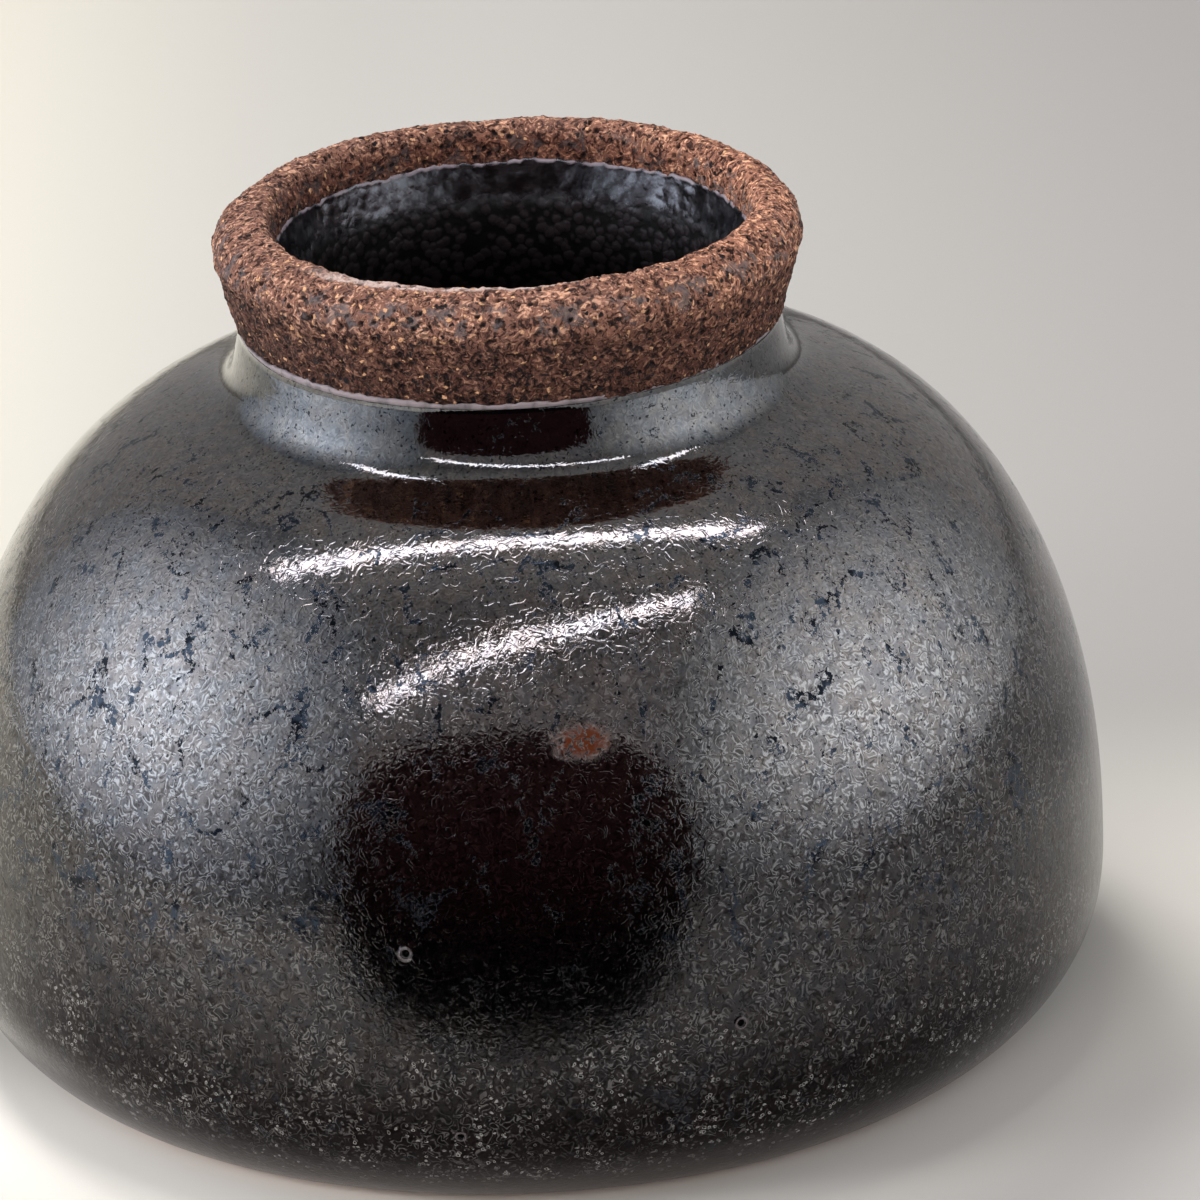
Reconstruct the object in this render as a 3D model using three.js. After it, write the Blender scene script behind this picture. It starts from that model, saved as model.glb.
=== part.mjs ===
// A squat stoneware jar, built up by hand in sections and glazed inside and out.
// Millimetres, +Z up, origin on the table under the middle of the foot.
import * as THREE from 'three';

// Outside of the glazed body
const BELLY_RADIUS = 80;
const BELLY_HEIGHT = 20;
const BASE_RADIUS = 67;
const UNDERSIDE_SLOPE = 26;
const UNDERSIDE_PULL = [8.9, 9.6];
const DOME_PULL = [44.4, 13.2];
const SHOULDER = { radius: 47.7, height: 87.6, slope: 19.3 };
const NECK_RADIUS = 36.3;
const NECK_TAPER = 12;
const NECK_PULL = [10.6, 9.7];

// Bare collar that crowns the neck
const COLLAR_FOOT = 100.2;
const COLLAR_FOOT_RADIUS = 36.4;
const COLLAR_EDGE_ROUND = 0.5;
const COLLAR_RADIUS = 39.5;
const COLLAR_WIDEST_HEIGHT = 110.1;
const LIP_TOP_RADIUS = 34.1;
const RIM_HEIGHT = 115;

// Hollow inside
const MOUTH_RADIUS = 30.8;
const MOUTH_FOOT = 105.5;
const MOUTH_PULL = [15.5, 11.4];
const WALL = 6.5;
const INNER_BELLY_HEIGHT = 24;
const INNER_DOME_PULL = [40, 12.5];
const FLOOR_HEIGHT = 9;
const FLOOR_RADIUS = 58;
const FLOOR_PULL = 10;

// Glaze coats, and the gap left for slip between neighbouring pieces
const GLAZE = 0.8;
const GAP = 0.3;
const GLAZE_FOOT = 1.8;
const INNER_GLAZE_TOP = 111;

// Where the clay sections meet
const BASE_REBATE = { radius: 60, height: 4 };
const WALL_SEAM = { radius: 75, height: 48, angle: 30 };
const NECK_SEAM = { radius: 44, height: 86, angle: 40 };
const NECK_TOP = 104;

// Foot ring turned under the base
const FOOT_RING = { inner: 52, outer: 63 };
const RECESS = { radius: 50, depth: 1.2 };

// The jar leans a little to its right: sideways millimetres for each millimetre of height
const LEAN = 0.0136;

const SPIN_SEGMENTS = 48;
const CURVE_STEPS = 6;

const CLAY = new THREE.MeshStandardMaterial({ color: 0x5a3628, roughness: 0.95, metalness: 0 });
const COLLAR_CLAY = new THREE.MeshStandardMaterial({ color: 0x6b4130, roughness: 0.95, metalness: 0 });
const IRON_GLAZE = new THREE.MeshStandardMaterial({ color: 0x231d1d, roughness: 0.2, metalness: 0.3 });

const point = (radius, height) => new THREE.Vector2(radius, height);

// The point a given length away, in a direction given in degrees above the outward horizontal.
function step(from, degrees, length) {
  const angle = THREE.MathUtils.degToRad(degrees);
  return point(from.x + length * Math.cos(angle), from.y + length * Math.sin(angle));
}

function bend(path, handleOut, handleIn, end) {
  path.bezierCurveTo(handleOut.x, handleOut.y, handleIn.x, handleIn.y, end.x, end.y);
}

// Every outline below is walked up the outside or down the inside, with the air on its right.

function outsideOutline() {
  const base = point(BASE_RADIUS, 0);
  const belly = point(BELLY_RADIUS, BELLY_HEIGHT);
  const shoulder = point(SHOULDER.radius, SHOULDER.height);
  const risingSlope = 180 - SHOULDER.slope;
  const neckEnd = point(NECK_RADIUS, COLLAR_FOOT - GAP);
  const path = new THREE.Path().moveTo(base.x, base.y);
  bend(
    path,
    step(base, UNDERSIDE_SLOPE, UNDERSIDE_PULL[0]),
    step(belly, -90, UNDERSIDE_PULL[1]),
    belly,
  );
  bend(
    path,
    step(belly, 90, DOME_PULL[0]),
    step(shoulder, risingSlope + 180, DOME_PULL[1]),
    shoulder,
  );
  bend(
    path,
    step(shoulder, risingSlope, NECK_PULL[0]),
    step(neckEnd, NECK_TAPER - 90, NECK_PULL[1]),
    neckEnd,
  );
  return path.getPoints(CURVE_STEPS);
}

function insideOutline() {
  const top = point(MOUTH_RADIUS, INNER_GLAZE_TOP);
  const mouthFoot = point(MOUTH_RADIUS, MOUTH_FOOT);
  const shoulder = step(point(SHOULDER.radius, SHOULDER.height), 270 - SHOULDER.slope, WALL);
  const belly = point(BELLY_RADIUS - WALL, INNER_BELLY_HEIGHT);
  const floorEdge = point(FLOOR_RADIUS, FLOOR_HEIGHT);
  const path = new THREE.Path().moveTo(top.x, top.y);
  path.lineTo(mouthFoot.x, mouthFoot.y);
  bend(
    path,
    step(mouthFoot, -90, MOUTH_PULL[0]),
    step(shoulder, 180 - SHOULDER.slope, MOUTH_PULL[1]),
    shoulder,
  );
  bend(
    path,
    step(shoulder, -SHOULDER.slope, INNER_DOME_PULL[1]),
    step(belly, 90, INNER_DOME_PULL[0]),
    belly,
  );
  bend(path, step(belly, -90, FLOOR_PULL), step(floorEdge, 0, FLOOR_PULL), floorEdge);
  path.lineTo(0, FLOOR_HEIGHT);
  return path.getPoints(CURVE_STEPS);
}

// Moves an open outline sideways into the wall by a depth, each corner along its mean normal.
function inset(outline, depth) {
  return outline.map((corner, i) => {
    const before = outline[Math.max(i - 1, 0)];
    const after = outline[Math.min(i + 1, outline.length - 1)];
    const along = after.clone().sub(before).normalize();
    const moved = point(corner.x - depth * along.y, corner.y + depth * along.x);
    moved.x = corner.x === 0 ? 0 : moved.x;
    return moved;
  });
}

// The stretch of an outline on the positive side of a seam, cut where it crosses.
function trim(outline, side) {
  const kept = [];
  outline.forEach((corner, i) => {
    const before = outline[i - 1];
    if (before && side(before) * side(corner) < 0) {
      kept.push(before.clone().lerp(corner, side(before) / (side(before) - side(corner))));
    }
    if (side(corner) >= 0) kept.push(corner);
  });
  return kept;
}

const above = (height) => (p) => p.y - height;
const below = (height) => (p) => height - p.y;
const outsideOf = (radius) => (p) => p.x - radius;

// Distance over a bevelled seam, which rises outwards so that the upper section sits in the lower.
function distanceOver(seam, p) {
  const angle = THREE.MathUtils.degToRad(seam.angle);
  return (p.y - seam.height) * Math.cos(angle) - (p.x - seam.radius) * Math.sin(angle);
}

const overSeam = (seam) => (p) => distanceOver(seam, p) - GAP / 2;
const underSeam = (seam) => (p) => -distanceOver(seam, p) - GAP / 2;

const OUTSIDE = outsideOutline();
const INSIDE = insideOutline();
const CLAY_OUTSIDE = inset(OUTSIDE, GLAZE + GAP);
const CLAY_INSIDE = inset(INSIDE, GLAZE + GAP);
const CLAY_MOUTH_RADIUS = MOUTH_RADIUS + GLAZE + GAP;
const CLAY_NECK_RADIUS = CLAY_OUTSIDE.at(-1).x;

// Spins a closed section about the jar's axis, stands it up and leans it.
function turn(name, section, material) {
  const geometry = new THREE.LatheGeometry([...section, section[0]], SPIN_SEGMENTS);
  geometry.rotateX(Math.PI / 2);
  geometry.applyMatrix4(new THREE.Matrix4().makeShear(0, 0, 0, 0, LEAN, 0));
  const mesh = new THREE.Mesh(geometry, material);
  mesh.name = name;
  return mesh;
}

// A coat of glaze: its free surface, then its back against the clay.
function coat(surface) {
  return [...surface, ...inset(surface, GLAZE).reverse()];
}

// Flat disc with a turned recess below, and a rebate round its top edge that the wall stands in.
function baseDisc() {
  const floor = FLOOR_HEIGHT - GLAZE - GAP;
  return turn('base_disc', [
    point(0, RECESS.depth),
    point(RECESS.radius, RECESS.depth),
    point(FOOT_RING.inner, 0),
    point(FOOT_RING.outer, 0),
    ...trim(CLAY_OUTSIDE, below(BASE_REBATE.height)),
    point(BASE_REBATE.radius, BASE_REBATE.height),
    point(BASE_REBATE.radius, floor),
    point(0, floor),
  ], CLAY);
}

// Lower section of the wall, from the base rebate up to the seam above the belly.
function bellyWall() {
  const seat = BASE_REBATE.height + GAP;
  const innerRadius = BASE_REBATE.radius + GAP;
  const under = underSeam(WALL_SEAM);
  return turn('belly_wall', [
    ...trim(trim(CLAY_OUTSIDE, above(seat)), under),
    ...trim(trim(CLAY_INSIDE, under), outsideOf(innerRadius)),
    point(innerRadius, seat),
  ], CLAY);
}

// Upper section of the wall, which closes in to the opening that the neck sits in. Only the
// stretch over the belly counts, because the lower seam's cone also runs down to the floor.
function shoulderWall() {
  const upper = (outline) => trim(outline, above(BELLY_HEIGHT));
  const between = (outline) => trim(trim(upper(outline), overSeam(WALL_SEAM)), underSeam(NECK_SEAM));
  return turn('shoulder_wall', [...between(CLAY_OUTSIDE), ...between(CLAY_INSIDE)], CLAY);
}

// Short hollow neck: a conical plug in the shoulder below, a tongue inside the collar above.
function neckRing() {
  const over = overSeam(NECK_SEAM);
  return turn('neck_ring', [
    ...trim(CLAY_OUTSIDE, over),
    point(CLAY_NECK_RADIUS, NECK_TOP),
    point(CLAY_MOUTH_RADIUS, NECK_TOP),
    ...trim(trim(CLAY_INSIDE, below(NECK_TOP)), over).slice(1),
  ], CLAY);
}

// Thick rolled collar of coarse clay that caps the neck and hangs down outside it as a skirt.
function rimCollar() {
  const skirtRadius = CLAY_NECK_RADIUS + GAP;
  const seat = NECK_TOP + GAP;
  const lipDrop = RIM_HEIGHT - COLLAR_WIDEST_HEIGHT;
  const path = new THREE.Path().moveTo(skirtRadius, COLLAR_FOOT);
  path.lineTo(COLLAR_FOOT_RADIUS - COLLAR_EDGE_ROUND, COLLAR_FOOT);
  path.lineTo(COLLAR_FOOT_RADIUS, COLLAR_FOOT + COLLAR_EDGE_ROUND);
  path.lineTo(COLLAR_RADIUS, COLLAR_WIDEST_HEIGHT);
  path.absellipse(
    LIP_TOP_RADIUS, COLLAR_WIDEST_HEIGHT, COLLAR_RADIUS - LIP_TOP_RADIUS, lipDrop, 0, Math.PI / 2,
  );
  path.absellipse(
    LIP_TOP_RADIUS, COLLAR_WIDEST_HEIGHT, LIP_TOP_RADIUS - CLAY_MOUTH_RADIUS, lipDrop,
    Math.PI / 2, Math.PI,
  );
  path.lineTo(CLAY_MOUTH_RADIUS, seat);
  path.lineTo(skirtRadius, seat);
  return turn('rim_collar', path.getPoints(CURVE_STEPS / 2), COLLAR_CLAY);
}

// Outer coat, from just above the foot to the underside of the collar.
function outerGlaze() {
  return turn('outer_glaze', coat(trim(OUTSIDE, above(GLAZE_FOOT))), IRON_GLAZE);
}

// Inner coat, from just under the lip down the neck and wall and across the floor.
function innerGlaze() {
  return turn('inner_glaze', coat(INSIDE), IRON_GLAZE);
}

const jar = new THREE.Group();
jar.add(baseDisc(), bellyWall(), shoulderWall(), neckRing(), rimCollar(), outerGlaze(), innerGlaze());

export default jar;
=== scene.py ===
# %% [markdown]
# # A stoneware jar with an iron-black glaze
#
# The object is a squat jar, built by hand from coarse brown clay. A dark, metallic iron glaze
# covers it inside and out, and a thick collar of bare, gritty clay crowns the neck.
#
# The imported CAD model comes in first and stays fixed. It says where everything is, and the pieces
# made here take the places of its plain solids at the same sizes.

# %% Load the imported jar
import math

import bmesh
import bpy
from mathutils import Matrix, Vector, noise
from mathutils.geometry import interpolate_bezier


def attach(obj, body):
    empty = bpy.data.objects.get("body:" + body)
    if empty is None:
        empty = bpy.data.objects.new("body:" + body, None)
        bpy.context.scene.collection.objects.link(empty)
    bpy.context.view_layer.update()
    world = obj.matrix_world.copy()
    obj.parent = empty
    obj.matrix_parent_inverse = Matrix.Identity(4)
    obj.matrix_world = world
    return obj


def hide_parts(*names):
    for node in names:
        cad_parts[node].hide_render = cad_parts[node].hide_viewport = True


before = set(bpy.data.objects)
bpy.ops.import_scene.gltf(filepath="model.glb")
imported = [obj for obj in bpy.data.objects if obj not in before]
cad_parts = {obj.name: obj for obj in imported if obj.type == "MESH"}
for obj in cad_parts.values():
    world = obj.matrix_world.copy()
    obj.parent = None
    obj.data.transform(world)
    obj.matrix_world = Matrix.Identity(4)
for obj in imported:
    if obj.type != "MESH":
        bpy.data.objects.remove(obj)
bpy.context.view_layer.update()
print("nodes:", sorted(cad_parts))

# %% [markdown]
# ## The camera
#
# The photograph was taken with a long lens from a little above, and the camera was tipped a touch
# to one side, so the jar stands slightly askew in it. The place, the lens and the tip were fitted
# to the jar's outline. The camera is built by steps from its target: turn, tip, then back away.

# %% Camera
VIEW_TARGET = Vector((0.01197, 0.0, 0.05688))
VIEW_DISTANCE = 1.0947
VIEW_ELEVATION = math.radians(22.163)
VIEW_TIP = math.radians(-2.419)

lens = bpy.data.cameras.new("photo_camera")
lens.lens = 240
lens.sensor_width = 36
camera = bpy.data.objects.new("photo_camera", lens)
bpy.context.collection.objects.link(camera)
camera.matrix_world = (
    Matrix.Translation(VIEW_TARGET)
    @ Matrix.Rotation(math.pi / 2 - VIEW_ELEVATION, 4, "X")
    @ Matrix.Rotation(VIEW_TIP, 4, "Z")
    @ Matrix.Translation((0, 0, VIEW_DISTANCE))
)
bpy.context.scene.camera = camera
bpy.context.scene.view_settings.view_transform = "Standard"
print("camera at", [round(c, 4) for c in camera.matrix_world.translation])

# %% [markdown]
# ## Small helpers for materials
#
# A material is a graph of nodes. These helpers keep each step of a graph on one line: `add` makes
# a node and fills its sockets, `calc` and `vector` do sums with values and places, and `between`
# turns a value into a soft step, which is how most patterns get their edges.

# %% Node helpers
def join(tree, value, socket):
    """Links a socket to another, or sets its own value."""
    if isinstance(value, bpy.types.NodeSocket):
        tree.links.new(value, socket)
    elif isinstance(value, tuple) and len(value) == 3 and socket.type == "RGBA":
        socket.default_value = (*value, 1)
    else:
        socket.default_value = value


def add(tree, kind, inputs=None, **settings):
    """Makes a shader node, sets its options and fills its inputs."""
    node = tree.nodes.new("ShaderNode" + kind)
    for name, value in settings.items():
        setattr(node, name, value)
    for name, value in (inputs or {}).items():
        join(tree, value, node.inputs[name])
    return node


def calc(tree, operation, first, *others):
    """A sum with values. Three values or more are taken one after another."""
    if not others:
        return add(tree, "Math", {0: first}, operation=operation).outputs[0]
    for other in others:
        first = add(tree, "Math", {0: first, 1: other}, operation=operation).outputs[0]
    return first


def vector(tree, operation, first, second=None, output="Vector"):
    """A sum with places."""
    inputs = {0: first}
    if second is not None:
        inputs["Scale" if operation == "SCALE" else 1] = second
    return add(tree, "VectorMath", inputs, operation=operation).outputs[output]


def blend(tree, factor, first, second, how="MIX"):
    """Mixes two colours."""
    node = add(tree, "Mix", {"Factor": factor}, data_type="RGBA", blend_type=how)
    join(tree, first, node.inputs[6])
    join(tree, second, node.inputs[7])
    return node.outputs[2]


def tint(tree, factor, colour, tone):
    """Multiplies a colour by a tone, as far as the factor says."""
    return blend(tree, factor, colour, tone, "MULTIPLY")


def between(tree, value, low, high, start=0.0, end=1.0):
    """A smooth step from start to end while the value goes from low to high."""
    node = add(
        tree, "MapRange",
        {"Value": value, "From Min": low, "From Max": high, "To Min": start, "To Max": end},
        interpolation_type="SMOOTHSTEP",
    )
    return node.outputs[0]


def over(tree, value, threshold, softness):
    """1 where the value is over its threshold, with an edge this soft."""
    return between(tree, value, threshold, calc(tree, "ADD", threshold, softness))


print("node helpers ready")

# %% [markdown]
# ## Patterns in millimetres
#
# Patterns are placed by Object coordinates, scaled to count millimetres, so a noise of size 3 has
# features 3 mm wide. Soft noise makes clouds, smudges and ragged edges. Cell noise makes grits and
# specks, and `lead_astray` bends its round cells out of true, as nothing in a kiln is regular.

# %% Pattern helpers
def new_finish(name):
    """An empty material with a Principled shader: returns it, its tree, shader and coordinates."""
    finish = bpy.data.materials.new(name)
    finish.use_nodes = True
    tree = finish.node_tree
    tree.nodes.clear()
    shader = add(tree, "BsdfPrincipled")
    add(tree, "OutputMaterial", {"Surface": shader.outputs[0]})
    metres = add(tree, "TexCoord").outputs["Object"]
    return finish, tree, shader, vector(tree, "SCALE", metres, 1000.0)


def along(tree, place, axis):
    """One of the three coordinates of a place."""
    return add(tree, "SeparateXYZ", {"Vector": place}).outputs[axis]


def from_axis(tree, place):
    """How far a place is from the jar's upright axis."""
    flat = vector(tree, "MULTIPLY", place, (1.0, 1.0, 0.0))
    return vector(tree, "LENGTH", flat, output="Value")


def grain(tree, place, size, detail=2.0, roughness=0.5, distortion=0.0):
    """Soft noise with features of about this size."""
    inputs = {
        "Vector": place, "Scale": 1 / size, "Detail": detail,
        "Roughness": roughness, "Distortion": distortion,
    }
    return add(tree, "TexNoise", inputs).outputs[0]


def off_middle(tree, value, middle):
    """How far a value is from its middle, on either side."""
    return calc(tree, "ABSOLUTE", calc(tree, "SUBTRACT", value, middle))


def cells(tree, place, size):
    """Cells of about this size: the distance to the nearest middle, and two random numbers."""
    node = add(tree, "TexVoronoi", {"Vector": place, "Scale": 1 / size})
    kinds = add(tree, "SeparateColor", {"Color": node.outputs["Color"]}).outputs
    return node.outputs["Distance"], kinds[0], kinds[1]


def lead_astray(tree, place, size, reach):
    """The place moved about by noise, so that round cells come out crooked."""
    inputs = {"Vector": place, "Scale": 1 / size, "Detail": 2.0}
    wander = add(tree, "TexNoise", inputs).outputs["Color"]
    return vector(tree, "ADD", place, vector(tree, "SCALE", wander, reach))


def stored(tree, name):
    """A number that the mesh keeps for each of its points."""
    return add(tree, "Attribute", attribute_name=name).outputs["Fac"]


def bump(tree, height, depth):
    """A bump whose height, from 0 to 1, is worth this many millimetres."""
    return add(tree, "Bump", {"Height": height, "Distance": depth / 1000}).outputs[0]


print("pattern helpers ready")

# %% [markdown]
# ## The table
#
# The jar stands on one pale sheet that fills the whole picture. In the photograph its left
# side is warm and bright, its right side is grey, and it is paler close to the jar. Those
# gradients are painted light and shade in the sheet's colour, not lamps, so they put no extra
# light on the jar.

# %% Table
SHEET_WARM_LIT = (0.585, 0.558, 0.49)
SHEET_MIDDLE = (0.405, 0.396, 0.38)
SHEET_GREY_SHADED = (0.290, 0.282, 0.278)
SHEET_PAINTED_LIGHT = (0.475, 0.462, 0.438)
FRONT_LEFT = (0.54, 0.518, 0.486)
FRONT_RIGHT = (0.40, 0.388, 0.38)
FRONT_PAINTED_LIGHT = (0.95, 0.915, 0.865)
SHEET_HALF_WIDTH = 4.0


def stage_mesh(name, bm, finish):
    """Makes a piece of the studio, which isn't part of the jar."""
    mesh = bpy.data.meshes.new(name)
    bm.to_mesh(mesh)
    bm.free()
    mesh.materials.append(finish)
    piece = bpy.data.objects.new(name, mesh)
    bpy.context.collection.objects.link(piece)
    return piece


sheet, tree, shader, place = new_finish("sheet_with_painted_light")
across, away = along(tree, place, "X"), along(tree, place, "Y")

# Painted light and shade: warm and bright at the left, grey at the right, and a painted pool of
# light beside the jar on the right
colour = blend(tree, between(tree, across, -130, -20), SHEET_WARM_LIT, SHEET_MIDDLE)
colour = blend(tree, between(tree, across, -30, 160), colour, SHEET_GREY_SHADED)
painted_light_near = calc(
    tree, "MULTIPLY", between(tree, away, 100, 30),
    between(tree, across, 0, 70), between(tree, away, -110, -30),
)
colour = blend(tree, painted_light_near, colour, SHEET_PAINTED_LIGHT)

# The front of the sheet has its own two ends, brighter at the left, and painted light lifts it
# close to the jar's foot, where the jar's shadow would be too deep
front = blend(tree, between(tree, across, -60, 60), FRONT_LEFT, FRONT_RIGHT)
around = vector(tree, "LENGTH", place, output="Value")
painted_lift = between(tree, around, 100, 75, 0.0, between(tree, across, -90, 60, 0.8, 0.4))
front = blend(tree, painted_lift, front, FRONT_PAINTED_LIGHT)
colour = blend(tree, between(tree, away, 10, -45), colour, front)
join(tree, colour, shader.inputs["Base Color"])
shader.inputs["Roughness"].default_value = 0.7
shader.inputs["Specular IOR Level"].default_value = 0.2

bm = bmesh.new()
bmesh.ops.create_grid(bm, x_segments=2, y_segments=2, size=SHEET_HALF_WIDTH)
stage_mesh("table_sheet", bm, sheet)
print("table sheet", 2 * SHEET_HALF_WIDTH, "m wide")

# %% [markdown]
# ## What the glaze mirrors
#
# A glossy black glaze shows its surroundings more than its own colour, so the lamps decide how it
# looks. The photograph's reflections were traced back from the jar's curve: a tall softbox on each
# side, two thin tubes overhead, and a dark space in front, behind the camera.
#
# Each softbox is a flat panel that shines most at the middle of its cloth, and has a dark rim. The
# camera doesn't see the panels, so they never stand in another view. The tubes light nothing, and
# are only mirrored.

# %% Softboxes and tubes
LEFT_BOX = (2.60, 2.74, 2.98)
RIGHT_BOX = (1.90, 1.93, 1.98)
TUBE = (8.0, 7.6, 8.0)
RIM = (0.030, 0.018, 0.020)
RIM_WIDTH = 0.32


def emitter(name, colour):
    """A material that shines with this colour and mirrors nothing."""
    finish = bpy.data.materials.new(name)
    finish.use_nodes = True
    finish.node_tree.nodes.clear()
    light = add(finish.node_tree, "Emission", {"Color": colour})
    add(finish.node_tree, "OutputMaterial", {"Surface": light.outputs[0]})
    return finish


def glow(name, colour, middle, reach):
    """A softbox's face: brightest at its middle, half as bright a reach away from it."""
    finish = emitter(name, colour)
    tree = finish.node_tree
    light = next(node for node in tree.nodes if node.type == "EMISSION")
    metres = add(tree, "TexCoord").outputs["Object"]
    offset = vector(tree, "DIVIDE", vector(tree, "SUBTRACT", metres, middle), reach)
    far = vector(tree, "DOT_PRODUCT", offset, offset, output="Value")
    join(tree, calc(tree, "DIVIDE", 1.0, calc(tree, "ADD", far, 1.0)), light.inputs["Strength"])
    return finish


def unseen(piece, *rays):
    """Hides a stage piece from these kinds of ray."""
    for ray in rays:
        setattr(piece, "visible_" + ray, False)
    return piece


lamp_rim = emitter("lamp_rim", RIM)


def panel(name, corners, finish, rim=0.0):
    """A flat panel between its corners, with a dark rim if one is asked for."""
    bm = bmesh.new()
    face = bm.faces.new([bm.verts.new(corner) for corner in corners])
    if rim:
        bmesh.ops.inset_region(bm, faces=[face], thickness=rim, use_even_offset=True)
        for other in bm.faces:
            other.material_index = 0 if other == face else 1
    piece = stage_mesh(name, bm, finish)
    if rim:
        piece.data.materials.append(lamp_rim)
    return unseen(piece, "camera")


panel(
    "left_softbox",
    [(-0.9, -1.17, 0.0), (-0.9, 0.91, 0.0), (-0.9, 0.91, 1.83), (-0.9, -1.17, 1.83)],
    glow("left_glow", LEFT_BOX, (-0.9, -0.04, 0.41), (1.0, 0.46, 0.52)), RIM_WIDTH,
)
panel(
    "right_softbox",
    [(0.9, 0.89, 0.0), (0.9, -1.45, 0.0), (0.9, -1.45, 1.45), (0.9, 0.89, 1.45)],
    glow("right_glow", RIGHT_BOX, (0.9, -0.20, 0.35), (1.0, 0.60, 0.62)), RIM_WIDTH,
)
tube_glow = emitter("tube_glow", TUBE)
back_tube = panel(
    "back_tube",
    [(-0.66, 0.02, 1.0), (-0.66, 0.11, 1.0), (0.59, 0.29, 1.0), (0.59, 0.20, 1.0)], tube_glow,
)
front_tube = panel(
    "front_tube",
    [(-0.70, -0.98, 1.0), (-0.70, -0.89, 1.0), (0.54, -0.23, 1.0), (0.54, -0.32, 1.0)], tube_glow,
)
for tube in (back_tube, front_tube):
    unseen(tube, "diffuse")
print("two softboxes, and", [tube.name for tube in (back_tube, front_tube)])

# %% [markdown]
# ## Light for the clay and the table
#
# The softboxes that suit the mirror alone would leave the bare clay and the sheet too dark. Four
# soft lamps light those two, from behind, above, in front and the left. They aren't mirrored, so
# the glaze stays as it is.

# %% Soft lamps
WARM_WHITE = (1, 0.98, 0.94)
PLAIN_WHITE = (1, 0.98, 0.95)


def soft_lamp(name, place, target, size, watts, colour):
    """A square lamp at a place, turned to its target, which the glaze doesn't mirror."""
    light = bpy.data.lights.new(name, "AREA")
    light.size, light.energy, light.color = size, watts, colour
    lamp = bpy.data.objects.new(name, light)
    bpy.context.collection.objects.link(lamp)
    away = Vector(place) - Vector(target)
    turn = away.to_track_quat("Z", "Y").to_matrix().to_4x4()
    lamp.matrix_world = Matrix.Translation(place) @ turn
    return unseen(lamp, "camera", "glossy")


lamps = [
    soft_lamp("back_key", (-0.22, 0.45, 0.87), (0, 0, 0), 0.30, 6.2, WARM_WHITE),
    soft_lamp("high_key", (-0.10, 0.05, 0.95), (0, 0, 0), 0.35, 3.4, WARM_WHITE),
    soft_lamp("front_fill", (0.0, -0.95, 0.45), (0, 0, 0.05), 0.5, 4.0, PLAIN_WHITE),
    soft_lamp("left_fill", (-0.45, -0.25, 0.22), (-0.06, -0.03, 0.02), 0.15, 1.3, PLAIN_WHITE),
]
print("lamps in watts:", {lamp.name: round(lamp.data.energy, 1) for lamp in lamps})

# %% [markdown]
# ## The dark space in front
#
# The middle of the jar mirrors a dark, round-topped shape: the unlit room behind the camera, and
# the unlit table in front of it. A card and a mat stand for them. They are hidden from everything
# but mirror rays, so they shade neither the clay nor the sheet. The rest of the room is the
# world's colour, which is darkest overhead.

# %% Dark card, mat and room
CARD = (0.040, 0.016, 0.018)
MAT = (0.010, 0.006, 0.007)
CARD_Y = -0.9
MAT_Z = 0.002
CARD_EDGE = [
    (-0.64, 0.0), (-0.67, 0.17), (-0.65, 0.39), (-0.54, 0.57), (-0.40, 0.65), (-0.15, 0.69),
    (0.10, 0.68), (0.35, 0.62), (0.51, 0.47), (0.58, 0.23), (0.52, 0.0),
]
MAT_EDGE = [
    (-0.64, -0.9), (-0.45, -0.66), (-0.27, -0.43), (-0.13, -0.24), (-0.05, -0.162), (0.0, -0.150),
    (0.04, -0.158), (0.08, -0.20), (0.16, -0.33), (0.35, -0.64), (0.52, -0.9),
]
ROOM_FRONT = (0.38, 0.35, 0.35)
ROOM_ABOVE = (0.22, 0.20, 0.20)
ROOM_BACK = (0.46, 0.44, 0.43)

card = panel("front_dark_card", [(x, CARD_Y, z) for x, z in CARD_EDGE], emitter("unlit", CARD))
mat = panel("front_dark_mat", [(x, y, MAT_Z) for x, y in MAT_EDGE], emitter("unlit_mat", MAT))
for dark in (card, mat):
    unseen(dark, "diffuse", "shadow", "transmission", "volume_scatter")

room = bpy.data.worlds.new("studio")
room.use_nodes = True
tree = room.node_tree
looking = add(tree, "TexCoord").outputs["Generated"]
up, back = along(tree, looking, "Z"), along(tree, looking, "Y")
colour = blend(tree, between(tree, up, 0.72, 0.88), ROOM_FRONT, ROOM_ABOVE)
colour = blend(tree, between(tree, back, -0.45, 0.05), colour, ROOM_BACK)
join(tree, colour, tree.nodes["Background"].inputs["Color"])
bpy.context.scene.world = room
print("dark pieces:", card.name, "and", mat.name)

# %% [markdown]
# ## Turning a section
#
# Every clay piece and glaze coat is round, so each starts as one section in the half plane beside
# the jar's axis, drawn with the same Bezier curves as the CAD model, and is spun about the axis.
# Work is in millimetres until a piece is finished. The jar leans a little and its mouth sits a
# touch off the middle, so the last steps shear the mesh sideways and scale it to metres.

# %% Section helpers
MM = 0.001
LEAN = 0.0136
MOUTH_SHIFT = 0.65
SHIFT_RADII = (39, 34)
SHIFT_HEIGHTS = (96, 106)


def step(start, degrees, length):
    """The point a length away, in a direction given in degrees above the outward horizontal."""
    angle = math.radians(degrees)
    return Vector((start[0] + length * math.cos(angle), start[1] + length * math.sin(angle)))


def bend(start, handle_out, handle_in, end, steps):
    """The points of a Bezier curve, without its first one."""
    corners = [Vector((*corner, 0)) for corner in (start, handle_out, handle_in, end)]
    return [p.to_2d() for p in interpolate_bezier(*corners, steps + 1)[1:]]


def behind(outline, depth):
    """The outline moved sideways into the wall and walked back."""
    moved = []
    for i, corner in enumerate(outline):
        along_it = outline[min(i + 1, len(outline) - 1)] - outline[max(i - 1, 0)]
        along_it.normalize()
        moved.append(
            Vector((max(corner.x - depth * along_it.y, 0), corner.y + depth * along_it.x))
        )
    return moved[::-1]


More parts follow.
